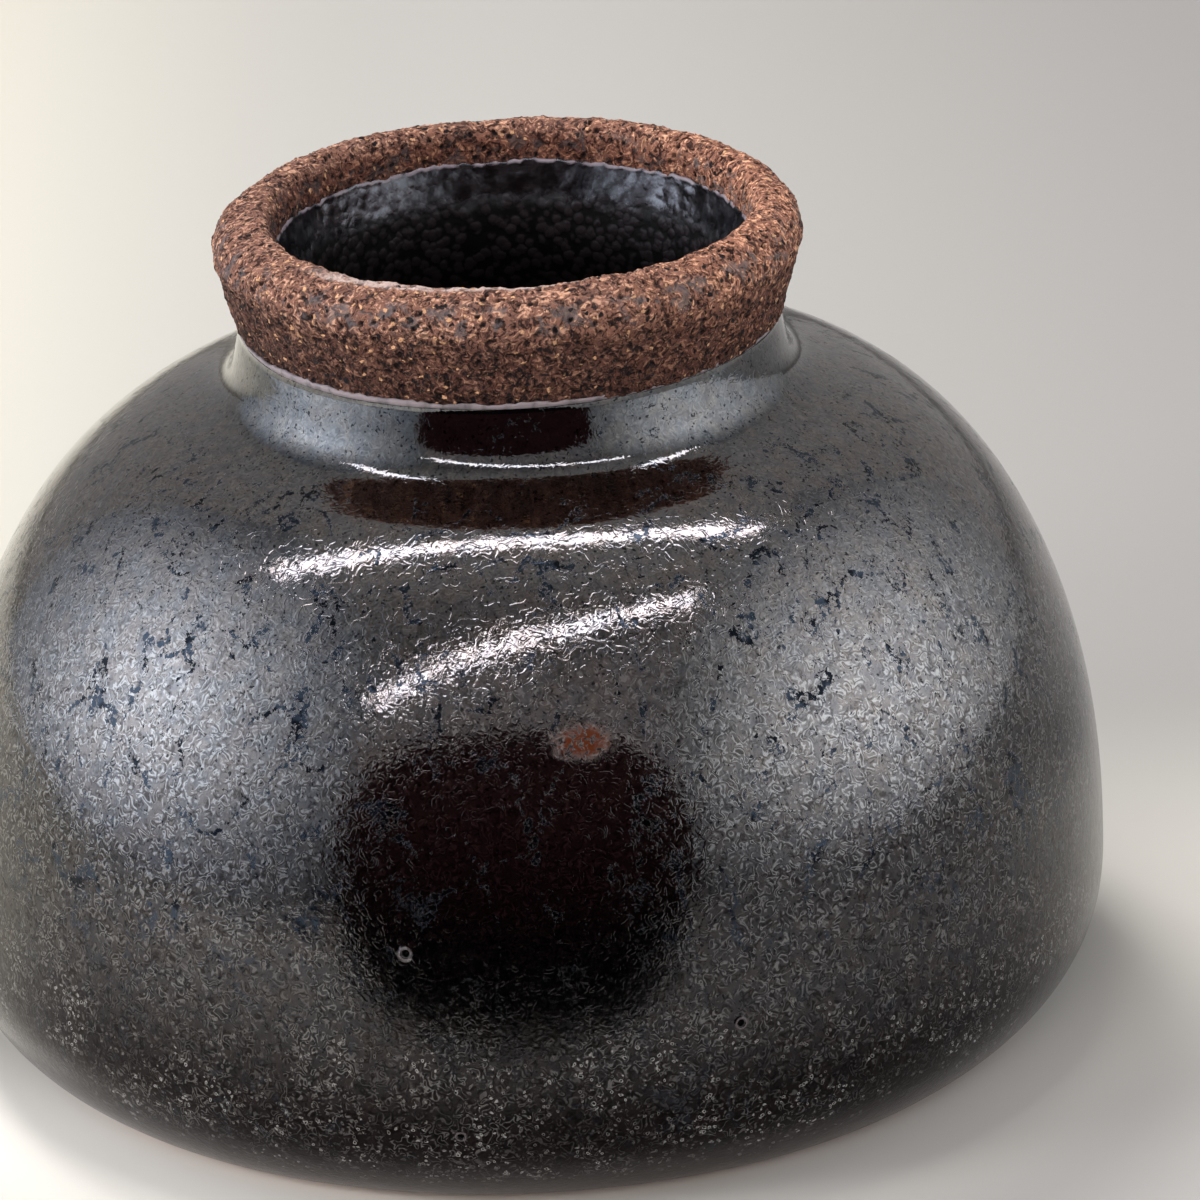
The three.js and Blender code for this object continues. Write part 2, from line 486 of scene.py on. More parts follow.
def spin_section(section, segments, closed=True):
    """Spins a section about the axis, and points its faces outwards."""
    bm = bmesh.new()
    corners = [bm.verts.new((p[0], 0, p[1])) for p in section]
    pairs = list(zip(corners, corners[1:]))
    if closed:
        pairs.append((corners[-1], corners[0]))
    edges = [bm.edges.new(pair) for pair in pairs]
    bmesh.ops.spin(
        bm, geom=corners + edges, cent=(0, 0, 0), axis=(0, 0, 1),
        angle=math.tau, steps=segments, use_merge=True,
    )
    bmesh.ops.remove_doubles(bm, verts=bm.verts, dist=0.0005)
    bmesh.ops.recalc_face_normals(bm, faces=bm.faces)
    bm.normal_update()
    return bm


print("section helpers ready")

# %% [markdown]
# ## Shaping for a hand-made look, and handing over
#
# A spun shape is too perfect for a hand-built jar, so each piece's points are moved by noise.
# `ease` fades such a change in or out, and `bearing` lets an edge waver as it goes round the jar.
# `finish_piece` then gives the mesh its place and its finish, hangs it on the jar's root, and hides
# the CAD nodes that it stands for.

# %% Finishing helpers
def ease(value, low, high):
    """A smooth step from 0 at low to 1 at high, in either order."""
    t = min(max((value - low) / (high - low), 0.0), 1.0)
    return t * t * (3 - 2 * t)


def bearing(p):
    """A point's direction from the axis, as a point on a circle of radius 1."""
    angle = math.atan2(p.y, p.x)
    return Vector((math.cos(angle), math.sin(angle), 0))


def finish_piece(name, bm, finish, slot, *nodes):
    """Leans and scales the mesh, and hands the piece over in place of its CAD nodes."""
    for vert in bm.verts:
        radius = math.hypot(vert.co.x, vert.co.y)
        vert.co.x += LEAN * vert.co.z
        vert.co.x += MOUTH_SHIFT * ease(radius, *SHIFT_RADII) * ease(vert.co.z, *SHIFT_HEIGHTS)
    bmesh.ops.scale(bm, vec=(MM, MM, MM), verts=bm.verts)
    for face in bm.faces:
        face.smooth = True
    mesh = bpy.data.meshes.new(name)
    bm.to_mesh(mesh)
    bm.free()
    mesh.materials.append(finish)
    piece = bpy.data.objects.new(name, mesh)
    bpy.context.collection.objects.link(piece)
    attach(piece, "root")
    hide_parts(*nodes)
    mesh.calc_loop_triangles()
    print(f"{name}: {len(mesh.loop_triangles)} triangles")


print("finishing helpers ready")

# %% [markdown]
# ## The iron glaze: its film
#
# An iron-saturated glaze cools with a thin metallic film, which mirrors the studio at about a fifth
# of its brightness. The film is mottled blue and brown. It lies full on the shoulder and is made
# weaker and darker by steps towards the foot, where the glaze is plain dark brown.
#
# A metallic shader with a dark base colour gives such a weak, tinted mirror. The fade is one colour
# that depends on the height, and everything that belongs to the film is multiplied by it.

# %% Iron film
FILM_BLUE = (0.202, 0.204, 0.211)
FILM_BROWN = (0.212, 0.196, 0.188)
FILM_CLOUD = (0.66, 0.65, 0.67)
FULL = (1.0, 1.0, 1.0)
FILM_AT_WAIST = (0.36, 0.36, 0.37)
FILM_AT_FOOT = (0.075, 0.058, 0.062)
NECK_TONE = (0.80, 0.84, 0.86)
NECK_HEIGHTS = (86, 92)

iron_glaze, tree, shader, place = new_finish("iron_glaze_film")
height = along(tree, place, "Z")
mottle = between(tree, grain(tree, place, 3.2, 5, 0.65), 0.36, 0.64)
film = blend(tree, mottle, FILM_BLUE, FILM_BROWN)
cloud = grain(tree, place, 1.6, 5, 0.75)
film = tint(tree, between(tree, cloud, 0.30, 0.70, 1.0, 0.0), film, FILM_CLOUD)

# The film is made darker by steps towards the foot, and a little darker on the neck
film_fade = blend(tree, between(tree, height, 64, 44), FULL, FILM_AT_WAIST)
film_fade = blend(tree, between(tree, height, 38, 12), film_fade, FILM_AT_FOOT)
film_fade = blend(tree, between(tree, height, *NECK_HEIGHTS), film_fade, NECK_TONE)
film = tint(tree, 1.0, film, film_fade)
print("film:", len(tree.nodes), "nodes so far")

# %% [markdown]
# ## The iron glaze: curls
#
# Close up, the film is drawn all over with fine curling lines of relief. Their glints and shadows
# are painted into the film's colour, pale painted highlights and dark painted shade side by side.
# They look like the height lines of a map, and are made in that way: a noise is cut into bands, and
# a line runs along each border. The curls show most on the belly, and frosty patches keep more of
# them.

# %% Contour curls
CURL_HIGHLIGHT = (0.43, 0.43, 0.43)
CURL_SHADE = (0.055, 0.050, 0.048)


def contours(tree, value, bands):
    """Height lines of a noise: 0 on each line, and 0.5 midway to the next one."""
    return calc(tree, "PINGPONG", calc(tree, "MULTIPLY", value, bands), 0.5)


fine = contours(tree, grain(tree, place, 1.45, 1.5, 0.5, 0.7), 5.0)
coarse = contours(tree, grain(tree, place, 2.2, 1.0, 0.4, 0.8), 3.6)
patchy = grain(tree, place, 1.3, 3, 0.7)
lower = between(tree, height, 90, 54)
frost = between(tree, grain(tree, place, 11, 3, 0.6), 0.44, 0.60, 0.40, 1.0)
frost = between(tree, calc(tree, "MAXIMUM", frost, between(tree, height, 26, 46)), 0, 1)

# Painted highlight and painted shade along the curls, in place of the glints of their relief
curl_highlight = calc(
    tree, "MULTIPLY", between(tree, fine, 0.20, 0.05), between(tree, patchy, 0.38, 0.54),
    between(tree, lower, 0, 1, 0.16, 0.74), frost,
)
curl_shade = calc(
    tree, "MULTIPLY", between(tree, fine, 0.30, 0.44), between(tree, patchy, 0.38, 0.56),
    between(tree, lower, 0, 1, 0.28, 0.80),
)
film = blend(tree, curl_highlight, film, tint(tree, 0.7, CURL_HIGHLIGHT, film_fade))
film = blend(tree, curl_shade, film, tint(tree, 1.0, CURL_SHADE, film_fade))
print("curls:", len(tree.nodes), "nodes so far")

# %% [markdown]
# ## The iron glaze: crystals and specks
#
# Blue-black crystals grew in the glaze as it cooled. They are strung along veins that run down the
# wall, in ragged clusters, with small inky specks and strokes between them. They are darker parts
# of the same film, so they still mirror a little.
#
# A ragged noise is lifted where there is a vein or a cluster, and what comes over a threshold is
# crystal. The veins are the thin lines where another, stretched noise passes its middle value.

# %% Crystals and specks
CRYSTAL_BLUE = (0.036, 0.048, 0.066)
CRYSTAL_BLACK = (0.008, 0.010, 0.014)
HANGING = (1.0, 1.0, 0.6)

hanging = vector(tree, "MULTIPLY", place, HANGING)
vein = off_middle(tree, grain(tree, hanging, 9, 2, 0.5, 0.4), 0.5)
vein = between(tree, vein, 0.065, 0.0, 0.0, 0.21)
vein = calc(tree, "MULTIPLY", vein, between(tree, height, *NECK_HEIGHTS, 1.0, 0.4))
cluster = between(tree, grain(tree, place, 5, 2, 0.5), 0.40, 0.64, 0.0, 0.13)
ragged = calc(tree, "ADD", vein, cluster, grain(tree, place, 0.80, 4, 0.70, 0.5))
crystal = over(tree, ragged, between(tree, height, 66, 84, 0.790, 0.770), 0.025)
crystal = calc(tree, "MULTIPLY", crystal, between(tree, height, 28, 44, 0.25, 1.0))
blacker = between(tree, grain(tree, place, 3.0, 2), 0.48, 0.60)
crystal_colour = blend(tree, blacker, CRYSTAL_BLUE, CRYSTAL_BLACK)

astray = lead_astray(tree, place, 0.9, 0.9)
speck_far, speck_kind, _ = cells(tree, astray, 0.95)
speck = calc(
    tree, "MULTIPLY", between(tree, speck_far, 0.23, 0.16), between(tree, speck_kind, 0.55, 0.60),
)
stroke = grain(tree, astray, 0.75, 1, 0.5, 1.6)
stroke = over(tree, stroke, between(tree, height, 60, 80, 0.71, 0.66), 0.03)
speck = calc(tree, "MAXIMUM", speck, stroke)
print("crystals:", len(tree.nodes), "nodes so far")

# %% [markdown]
# ## The iron glaze: ringlets and a rust blush
#
# Low on the belly the glaze is full of pale ringlets, where tiny bubbles burst and healed. Each is
# a thin shell round the middle of a cell. Above the dark patch in front is a small rust-coloured
# blush, where the iron came out red. It is the one mark that has to be in its own place, so it is
# measured from that place, with a noise to fray its border.

# %% Ringlets, rust and foot
RINGLET = (0.19, 0.185, 0.18)
RINGLET_RADIUS = 0.22
RUST = (0.064, 0.016, 0.006)
RUST_PLACE = (9.0, -70.0, 65.8)
RUST_REACH = (4.0, 9.0, 2.2)

ring = between(tree, off_middle(tree, speck_far, RINGLET_RADIUS), 0.10, 0.03)
ring = calc(
    tree, "MULTIPLY", ring,
    between(tree, height, 34, 24), between(tree, height, 4, 9),
    between(tree, grain(tree, place, 3.2, 3, 0.6), 0.46, 0.56),
    between(tree, frost, 0, 1, 0.25, 1.0),
)

rust_offset = vector(tree, "SUBTRACT", place, RUST_PLACE)
rust_offset = vector(tree, "DIVIDE", rust_offset, RUST_REACH)
rust_far = vector(tree, "LENGTH", rust_offset, output="Value")
rust_far = calc(tree, "ADD", rust_far, grain(tree, place, 1.2, 4, 0.7))
rust = between(tree, rust_far, 1.85, 0.95)
frayed = between(tree, grain(tree, place, 0.8, 3, 0.6, 1.0), 0.38, 0.50, 0.25, 1.0)
rust = calc(tree, "MULTIPLY", rust, frayed)

foot = between(tree, height, 13, 4)
print("ringlets and rust:", len(tree.nodes), "nodes so far")

# %% [markdown]
# ## The iron glaze: all together
#
# The layers go over one another in the order in which they hide each other. Where the film is
# missing, on ringlets, rust, foot, lip and pinholes, the glaze isn't metallic, and its plain gloss
# is kept low so that those parts stay dark. The mesh says where its lip and its pinholes are.
#
# The surface itself is smooth on the shoulder and grows rougher towards the foot. A bump of a few
# hundredths of a millimetre breaks the long reflections of the tubes into curls.

# %% Iron glaze surface
FOOT_BROWN = (0.014, 0.008, 0.008)
HOLE_SHADE = (0.002, 0.002, 0.002)
EDGE_LILAC_AND_GLINT = (0.25, 0.210, 0.225)
RIPPLE_DEPTH = 0.032

hole, edge = stored(tree, "hole"), stored(tree, "edge")
colour = film
for cover, layer in (
    (crystal, crystal_colour),
    (calc(tree, "MULTIPLY", speck, 0.85), CRYSTAL_BLACK),
    (foot, FOOT_BROWN),
    (ring, RINGLET),
    (rust, RUST),
    # Painted shade blackens the pinholes; the edge colour is the lip's own pale edge and a painted
    # highlight round each pinhole
    (hole, HOLE_SHADE),
    (edge, EDGE_LILAC_AND_GLINT),
):
    colour = blend(tree, cover, colour, layer)
join(tree, colour, shader.inputs["Base Color"])

bare = calc(tree, "MAXIMUM", ring, rust, edge, foot, hole)
join(tree, between(tree, bare, 0.0, 1.0, 1.0, 0.0), shader.inputs["Metallic"])
shader.inputs["Specular IOR Level"].default_value = 0.2

roughness = calc(
    tree, "ADD",
    between(tree, height, 55, 18, 0.09, 0.21),
    between(tree, height, 80, 62, -0.03, 0.0),
    calc(tree, "MULTIPLY", crystal, between(tree, height, 40, 60, 0.0, 0.10)),
    between(tree, cloud, 0.35, 0.65, -0.02, 0.03),
)
join(tree, roughness, shader.inputs["Roughness"])

worm = grain(tree, place, 1.0, 1.0, 0.4, 1.0)
worm = calc(tree, "MULTIPLY", worm, between(tree, height, 84, 68, 0.35, 0.95))
ridge = calc(
    tree, "MULTIPLY", between(tree, coarse, 0.26, 0.04),
    between(tree, height, 66, 76), between(tree, height, 90, 82, 0.10, 0.50),
)
ripple = calc(tree, "ADD", worm, ridge, grain(tree, place, 2.6, 2, 0.5, 0.3))
ripple = calc(tree, "SUBTRACT", ripple, calc(tree, "MULTIPLY", crystal, 0.3))
ripple = calc(tree, "ADD", ripple, calc(tree, "MULTIPLY", curl_highlight, 0.3))
join(tree, bump(tree, ripple, RIPPLE_DEPTH), shader.inputs["Normal"])
print("iron glaze:", len(tree.nodes), "nodes")

# %% [markdown]
# ## The outer coat of glaze
#
# The coat runs from just over the foot, round the belly and the shoulder and up the short neck,
# where it laps over the foot of the collar in a thin wavy lip. Its section is the CAD outline with
# many more steps, because a mirror shows every facet.

# %% Outer outline
BELLY = Vector((80, 20))
SHOULDER = Vector((47.7, 87.6))
SHOULDER_SLOPE = 19.3
NECK_TOP = Vector((36.3, 99.9))
NECK_TAPER = 12
FOOT_EDGE = Vector((67, 0))
GLAZE = 0.8
GLAZE_FOOT = 1.8

underside = [FOOT_EDGE] + bend(
    FOOT_EDGE, step(FOOT_EDGE, 26, 8.9), step(BELLY, -90, 9.6), BELLY, 34,
)
dome = bend(
    BELLY, step(BELLY, 90, 44.4), step(SHOULDER, -SHOULDER_SLOPE, 13.2), SHOULDER, 120,
)
neck = bend(
    SHOULDER, step(SHOULDER, 180 - SHOULDER_SLOPE, 10.6), step(NECK_TOP, NECK_TAPER - 90, 9.7),
    NECK_TOP, 36,
)
outline = [p for p in underside if p.y > GLAZE_FOOT] + dome + neck
print("outline of", len(outline), "points, from", tuple(outline[0]), "to", tuple(outline[-1]))

# %% [markdown]
# ## Pinholes
#
# Gas escaped from the clay in the kiln and left three pinholes about a millimetre wide in the front
# of the coat. The faces round each of them are split three times, closer in each time, so that so
# small a hole has enough points to be sunk into a real dimple.

# %% Outer coat, spun
LIP_FOOT = 99.15
LIP = [(36.53, 99.25), (36.64, 99.42), (36.74, 99.6), (36.77, 99.8), (36.68, 99.95), (36.45, 99.9)]
LIP_BACK = Vector((35.9, 99.7))
OUTER_SEGMENTS = 384
PINHOLES = [(-15.0, -77.0, 40.2, 1.1), (28.0, -75.0, 27.4, 1.0), (-9.0, -79.0, 14.8, 0.9)]

front = [p for p in outline if p.y < LIP_FOOT]
back = behind(front[::12] + [front[-1]], GLAZE)
bm = spin_section(front + [Vector(p) for p in LIP] + [LIP_BACK] + back, OUTER_SEGMENTS)
edge_layer = bm.verts.layers.float.new("edge")
hole_layer = bm.verts.layers.float.new("hole")

pinholes = []
for x, y, z, width in PINHOLES:
    centre = Vector((x - LEAN * z, y, z))
    nearest = min(bm.verts, key=lambda vert: (vert.co - centre).length).co
    centre.xy *= nearest.xy.length / centre.xy.length
    pinholes.append((centre, width))
    for reach in (3.0, 2.2, 1.5):
        close = {
            e for face in bm.faces if (face.calc_center_median() - centre).length < reach * width
            for e in face.edges
        }
        bmesh.ops.subdivide_edges(bm, edges=list(close), cuts=1, use_grid_fill=True, smooth=1.0)
bm.normal_update()
print("outer coat:", len(bm.verts), "points, with", len(pinholes), "pinholes marked")

# %% [markdown]
# ## The coat's hand-made surface
#
# Each point moves a little along its normal: wide, shallow dents from the potter's hands, a slight
# fill where the glaze pooled at the front of the neck, and the pinholes, each with a low rim round
# it. The lip wavers up and down. The thin edge of a glaze breaks pale, so the lip is written into
# the mesh for the material to find. So is each pinhole, which the material paints black as shade,
# and a pale ring round its rim as a painted highlight.

# %% Outer coat, shaped
DENT = 0.22
DENT_WIDTH = 55
SWELL = 0.10
SWELL_WIDTH = 17
NECK_FILL = 0.28
HOLE_DEPTH = 0.7
HOLE_RIM = 0.15

for vert in bm.verts:
    p = vert.co.copy()
    shift = DENT * noise.noise(p / DENT_WIDTH)
    shift += SWELL * noise.noise(p / SWELL_WIDTH + Vector((7, 3, 1)))
    vert.co += vert.normal * shift
    if 84 < p.z < 98:
        fill = math.exp(-(((p.z - 91.0) / 2.4) ** 2)) * ease(-p.y, 8, 34)
        vert.co += vert.normal * NECK_FILL * fill
    if p.z > LIP_FOOT:
        ring = bearing(p)
        waver = 0.35 * noise.noise(ring * 9) + 0.30 * noise.noise(ring * 40)
        vert.co.z += ease(p.z, LIP_FOOT, 99.9) * waver
        broken = 0.65 + 0.35 * ease(noise.noise(ring * 30), -0.3, 0.1)
        vert[edge_layer] = ease(p.z, 99.05, 99.35) * broken
    for centre, width in pinholes:
        far = (p - centre).length / (width / 2)
        if far < 3:
            sunk = HOLE_DEPTH * ease(far, 1.15, 0.3) - HOLE_RIM * ease(far, 2.2, 1.25)
            vert.co -= vert.normal * sunk
            # Marks the hole, which the material paints black as shade
            vert[hole_layer] = ease(far, 1.2, 0.85)
            # A painted highlight: a pale ring round the hole's rim, standing in for its glints
            vert[edge_layer] = 0.45 * ease(far, 1.9, 1.5) * ease(far, 1.1, 1.3)

finish_piece("outer_glaze_coat", bm, iron_glaze, "iron_glaze", "outer_glaze")

# %% [markdown]
# ## The bare clay of the collar
#
# The collar is a roll of coarse brown clay with no glaze on it. A finger dragged over such clay
# leaves ridges and furrows, here pale with painted highlight and dark with painted shade. Along its
# crest there are blue-grey smudges, and the skirt below it is darker with painted shade, as little
# light reaches it.
#
# The furrows are one noise with a strong twist: painted highlight makes its high parts pale and
# painted shade its low parts dark. The rest is painted shade and light laid over it by height, by
# side and by the distance from the axis: a darker skirt, hem and inward turn of the mouth, a darker
# left side and a lighter right side.

# %% Collar clay colours
CLAY_BROWN = (0.200, 0.094, 0.068)
CLAY_WARM = (0.245, 0.115, 0.080)
CLAY_RIDGE_HIGHLIGHT = (0.66, 0.37, 0.25)
CLAY_SHADE = (0.030, 0.013, 0.010)
CLAY_GREY = (0.115, 0.100, 0.105)
SKIRT_SHADE = (0.38, 0.34, 0.34)
HEM_SHADE = (0.55, 0.50, 0.50)
MOUTH_SHADE = (0.62, 0.52, 0.49)
LEFT_SHADE = (0.78, 0.80, 0.84)
RIGHT_LIGHT = (1.35, 1.28, 1.20)
CREST_HEIGHT = 112.0

collar_clay, tree, shader, place = new_finish("gritty_clay")
height, across = along(tree, place, "Z"), along(tree, place, "X")
radius = from_axis(tree, place)
furrow = grain(tree, place, 1.1, 3, 0.6, 1.4)
warmer = between(tree, grain(tree, place, 5, 3, 0.6), 0.40, 0.60)
body = blend(tree, warmer, CLAY_BROWN, CLAY_WARM)
# Painted shade darkens the furrows' low parts, and painted highlight pales their high parts
body = blend(tree, between(tree, furrow, 0.475, 0.40, 0.0, 0.95), body, CLAY_SHADE)
body = blend(tree, between(tree, furrow, 0.53, 0.64, 0.0, 0.90), body, CLAY_RIDGE_HIGHLIGHT)

crest = between(tree, off_middle(tree, height, CREST_HEIGHT), 2.6, 0.8)
smudge = between(tree, grain(tree, place, 2.6, 3, 0.6, 0.5), 0.50, 0.62)
smudge = calc(tree, "MULTIPLY", smudge, between(tree, crest, 0, 1, 0.10, 0.75))
body = blend(tree, smudge, body, CLAY_GREY)

uneven = calc(tree, "ADD", across, calc(tree, "MULTIPLY", grain(tree, place, 9, 2), 16.0))
inward_shade = calc(
    tree, "MULTIPLY", between(tree, radius, 34.0, 32.6), between(tree, height, 114.6, 112.8),
)
# Painted shade on the skirt, the hem, the inward turn of the mouth and the left side, and painted
# light on the right side
for cover, tone in (
    (between(tree, height, 111.0, 107.5, 0.0, 0.9), SKIRT_SHADE),
    (between(tree, height, 104, 100.5, 0.0, 0.7), HEM_SHADE),
    (inward_shade, MOUTH_SHADE),
    (between(tree, uneven, 8, -28, 0.0, 0.60), LEFT_SHADE),
    (between(tree, across, 12, 34), RIGHT_LIGHT),
):
    body = tint(tree, cover, body, tone)
print("clay tones:", len(tree.nodes), "nodes so far")

# %% [markdown]
# ## Grits, crevices and a painted highlight
#
# The clay is full of grits, some pale orange and some nearly black, with pits where others fell out
# and crooked crevices between them; the pits and crevices are painted black as shade. Inside the
# front of the mouth a thin painted highlight runs along the inner edge of the lip, where it catches
# the light from behind. The same patterns that colour the clay also raise and sink it, so every
# dark crevice is also a real dip in the light.

# %% Collar clay surface
GRIT_ORANGE = (0.66, 0.36, 0.20)
BLACK_GRIT_AND_SHADE = (0.012, 0.010, 0.012)
LIP_HIGHLIGHT = (0.52, 0.40, 0.37)
CLAY_RELIEF = 0.85

# A painted highlight along the front of the lip's inner edge
lip_highlight = calc(
    tree, "MULTIPLY", between(tree, height, 113.2, 113.8),
    between(tree, along(tree, place, "Y"), -22, -28), between(tree, radius, 34.75, 34.25),
    between(tree, grain(tree, place, 2.2, 3, 0.6), 0.40, 0.52, 0.2, 0.9),
)
body = blend(tree, lip_highlight, body, LIP_HIGHLIGHT)

# Painted shade in the crooked crevices
crevice = off_middle(tree, grain(tree, place, 1.7, 1.5, 0.5, 1.6), 0.5)
crevice = calc(
    tree, "MULTIPLY", between(tree, crevice, 0.030, 0.012),
    between(tree, grain(tree, place, 2.1, 2), 0.46, 0.56),
    between(tree, height, 112.5, 109, 0.35, 1.0),
)
grit_far, orange_kind, black_kind = cells(tree, lead_astray(tree, place, 1.1, 1.4), 1.05)
grit = between(tree, grit_far, 0.36, 0.24)
orange = calc(tree, "MULTIPLY", grit, between(tree, orange_kind, 0.80, 0.84))
black_grit_and_shade = calc(tree, "MULTIPLY", grit, between(tree, black_kind, 0.76, 0.80))
big_black = between(tree, grain(tree, place, 1.5, 3, 0.6, 0.7), 0.665, 0.69)
# Black grits, with painted shade in the pits and crevices
black_grit_and_shade = calc(
    tree, "MAXIMUM", black_grit_and_shade, stored(tree, "pit"),
    calc(tree, "MULTIPLY", big_black, 0.85), calc(tree, "MULTIPLY", crevice, 0.9),
)
colour = blend(tree, orange, body, GRIT_ORANGE)
colour = blend(tree, black_grit_and_shade, colour, BLACK_GRIT_AND_SHADE)
join(tree, colour, shader.inputs["Base Color"])
join(tree, between(tree, orange, 0, 1, 0.80, 0.5), shader.inputs["Roughness"])
shader.inputs["Specular IOR Level"].default_value = 0.25

relief = calc(tree, "ADD", furrow, calc(tree, "MULTIPLY", orange, 0.3))
relief = calc(tree, "SUBTRACT", relief, calc(tree, "MULTIPLY", black_grit_and_shade, 0.6))
join(tree, bump(tree, relief, CLAY_RELIEF), shader.inputs["Normal"])
print("collar clay:", len(tree.nodes), "nodes")

# %% [markdown]
# ## The collar
#
# The section is a flared band that rounds over into the mouth. It is spun with many segments, then
# every point moves along its normal: long lumps where the roll was pressed on by hand, drag marks,
# rounded grits, and pits. These are real shape because they break the collar's outline. Cell noise
# gives both the grits and the pits, from the distance to the nearest cell's middle.

# %% Collar section
COLLAR_FOOT = Vector((36.1, 99.45))
COLLAR_EDGE = Vector((36.55, 99.75))
COLLAR_WIDEST = Vector((39.5, 110.1))
COLLAR_TOP = Vector((34.1, 115.0))
COLLAR_MOUTH = Vector((31.9, 110.1))
COLLAR_SEGMENTS = 820
QUARTER_HANDLE = 0.5523


def arc(start, corner, end, steps):
    """A quarter of an ellipse from start to end, rounding off their corner."""
    out, back = start.lerp(corner, QUARTER_HANDLE), end.lerp(corner, QUARTER_HANDLE)
    return bend(start, out, back, end, steps)


flare = [COLLAR_FOOT.lerp(COLLAR_EDGE, t) for t in (0.0, 0.5)]
flare += [COLLAR_EDGE.lerp(COLLAR_WIDEST, i / 36) for i in range(37)]
crown = arc(COLLAR_WIDEST, Vector((COLLAR_WIDEST.x, COLLAR_TOP.y)), COLLAR_TOP, 32)
mouth = arc(COLLAR_TOP, Vector((COLLAR_MOUTH.x, COLLAR_TOP.y)), COLLAR_MOUTH, 24)
hidden = [Vector(p) for p in ((31.9, 108.9), (31.9, 104.3), (35.5, 104.3), (35.5, 99.6))]
bm = spin_section(flare + crown + mouth + hidden, COLLAR_SEGMENTS)
pit_layer = bm.verts.layers.float.new("pit")
print("collar:", len(bm.verts), "points")

# %% Collar, shaped
LUMP = 0.30
KNOB = 0.22
SWAY = 0.35
FURROW = 0.30
GRIT_HEIGHT = 0.14
PIT_DEPTH = 0.42
DRAG_SEED = 7

# The drag marks come from seeded noise, so the seed is set to get the same ones in each run
noise.seed_set(DRAG_SEED)
for vert in bm.verts:
    p = vert.co.copy()
    radius_here = p.to_2d().length
    if p.z < 99.4 or (p.z < 108 and radius_here < 35.8):
        continue
    long_way = Vector((p.x / 6, p.y / 6, p.z / 3.2))
    lump = LUMP * noise.noise(long_way) + KNOB * noise.noise(p / 1.9 + Vector((3, 9, 4)))
    sway = SWAY * noise.noise(p / 30 + Vector((11, 2, 5)))
    drag = FURROW * (0.4 - abs(noise.noise(p + 0.9 * noise.noise_vector(p / 1.4))))
    grit_near = noise.voronoi(p / 0.95)[0][0]
    pit_near = noise.voronoi(p / 1.7 + Vector((5, 8, 2)))[0][0]
    sunk = ease(pit_near, 0.27, 0.14)
    calm = ease(p.z, 108.5, 111) if radius_here < 33 else 1.0
    shift = lump + sway + drag + GRIT_HEIGHT * ease(grit_near, 0.45, 0.15) - PIT_DEPTH * sunk
    vert.co += vert.normal * shift * (0.3 + 0.7 * calm)
    vert[pit_layer] = sunk

finish_piece("clay_collar", bm, collar_clay, "rim_clay", "rim_collar")

# %% [markdown]
# ## The glaze inside
#
# The same glaze lines the jar, but it pooled there and dried cobbled, like orange peel, and little
# light reaches it, so it looks almost black. Only in the throat, just under the collar, does a hazy
# band of the film catch the light, and the coat ends above it in a pale, broken edge.
#
# Cells led astray make the cobbles, with black gaps of painted shade between them.

# %% Inner glaze finish
PEBBLE = (0.019, 0.014, 0.017)
PEBBLE_GAP_SHADE = (0.002, 0.002, 0.002)
HAZE_PALE = (0.115, 0.120, 0.135)
HAZE_DARK = (0.035, 0.033, 0.038)
INNER_EDGE = (0.22, 0.185, 0.215)
PEBBLE_RELIEF = 0.13

inner_finish, tree, shader, place = new_finish("pooled_glaze")
uneven = calc(tree, "MULTIPLY", grain(tree, place, 2.0, 3), 4.0)
uneven = calc(tree, "ADD", along(tree, place, "Z"), uneven)
throat = between(tree, uneven, 105.5, 108.5)
edge = stored(tree, "edge")
pebble_far = cells(tree, lead_astray(tree, place, 1.3, 0.9), 1.4)[0]
haze = between(tree, grain(tree, place, 2.4, 4, 0.65), 0.38, 0.62)
haze = blend(tree, haze, HAZE_PALE, HAZE_DARK)
# Painted shade in the gaps between the cobbles
colour = blend(tree, between(tree, pebble_far, 0.44, 0.62), PEBBLE, PEBBLE_GAP_SHADE)
colour = blend(tree, throat, colour, haze)
colour = blend(tree, edge, colour, INNER_EDGE)
join(tree, colour, shader.inputs["Base Color"])

filmed = calc(
    tree, "MULTIPLY", between(tree, throat, 0, 1, 0.5, 0.95), between(tree, edge, 0, 1, 1, 0),
)
join(tree, filmed, shader.inputs["Metallic"])
join(tree, between(tree, throat, 0, 1, 0.50, 0.22), shader.inputs["Roughness"])
fine_grain = calc(tree, "MULTIPLY", grain(tree, place, 0.9, 3), 0.4)
relief = calc(tree, "ADD", between(tree, pebble_far, 0.75, 0.10), fine_grain)
relief = calc(tree, "MULTIPLY", relief, between(tree, throat, 0, 1, 1.0, 0.3))
join(tree, bump(tree, relief, PEBBLE_RELIEF), shader.inputs["Normal"])
print("inner glaze:", len(tree.nodes), "nodes")

# %% [markdown]
# ## The inner coat
#
# The coat is a closed shell that follows the inside of the wall, from a rounded edge under the lip,
# down the throat and the shoulder, to the floor. It is a little uneven everywhere, and its upper
# edge wavers as a glaze does where it was poured in and tipped out again.

# %% Inner glaze mesh
THROAT_TOP = Vector((31.6, 109.4))
THROAT_FOOT = Vector((30.3, 105.6))
INNER_SHOULDER = step(SHOULDER, 270 - SHOULDER_SLOPE, 6.5)
INNER_BELLY = Vector((73.5, 24))
FLOOR_EDGE = Vector((58, 9))
BACK_LIMIT = 31.8
INNER_SEGMENTS = 300
COBBLE = 0.10

